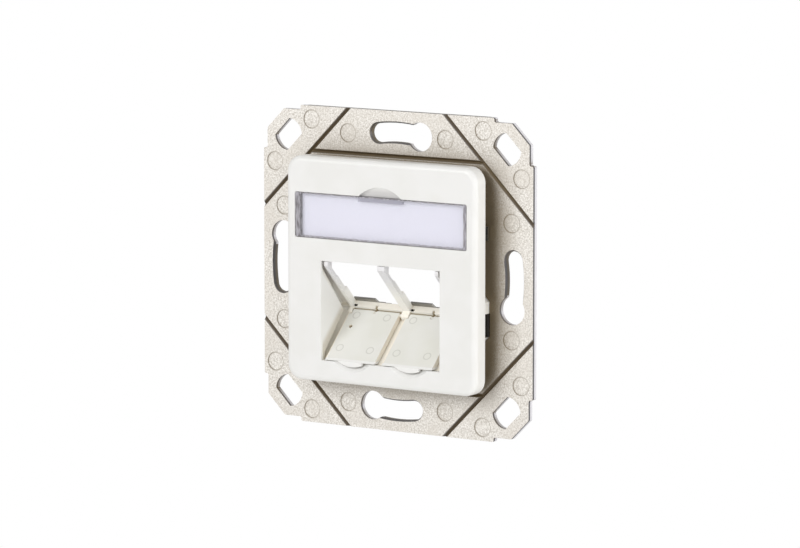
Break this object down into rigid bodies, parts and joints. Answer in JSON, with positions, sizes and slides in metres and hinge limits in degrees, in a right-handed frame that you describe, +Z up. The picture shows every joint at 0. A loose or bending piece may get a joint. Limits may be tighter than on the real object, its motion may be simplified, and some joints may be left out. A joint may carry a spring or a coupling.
{
  "type": "two-port socket module",
  "caption": "Flush wall carrier for angled network jacks, with a cast support frame, a clipped cover plate, a label field and hinged dust flaps.",
  "frame": {"origin": "the middle of the support frame's back face, which lies on the wall", "axes": "+X to the viewer's right, +Z up, +Y into the wall; the object faces -Y"},
  "size_m": [0.071, 0.0139, 0.071],
  "materials": {
    "cast_zinc": "matte, fine-grained",
    "white_plastic": "satin",
    "holder_plastic": "satin",
    "flap_plastic": "satin",
    "clear_plastic": "polished",
    "label_paper": "matte",
    "spring_steel": "rolled"
  },
  "bodies": {
    "carrier": {"support_frame": "cast_zinc", "module_holder": "holder_plastic", "cover_plate": "white_plastic", "label_window": "clear_plastic", "label_strip": "label_paper", "ground_spring": "spring_steel", "plate_clip_left": "spring_steel", "plate_clip_right": "spring_steel", "frame_catch_left": "spring_steel", "frame_catch_right": "spring_steel"},
    "left_flap": {"dust_flap_left": "flap_plastic"},
    "right_flap": {"dust_flap_right": "flap_plastic"}
  },
  "joints": [
    {"name": "left_flap_hinge", "type": "hinge", "parent": "carrier", "child": "left_flap", "pos_m": [-0.00755, 0.00259, -0.01035], "axis": [-1, 0, 0], "range_deg": [0, 90]},
    {"name": "right_flap_hinge", "type": "hinge", "parent": "carrier", "child": "right_flap", "pos_m": [0.00755, 0.00259, -0.01035], "axis": [-1, 0, 0], "range_deg": [0, 90]}
  ]
}
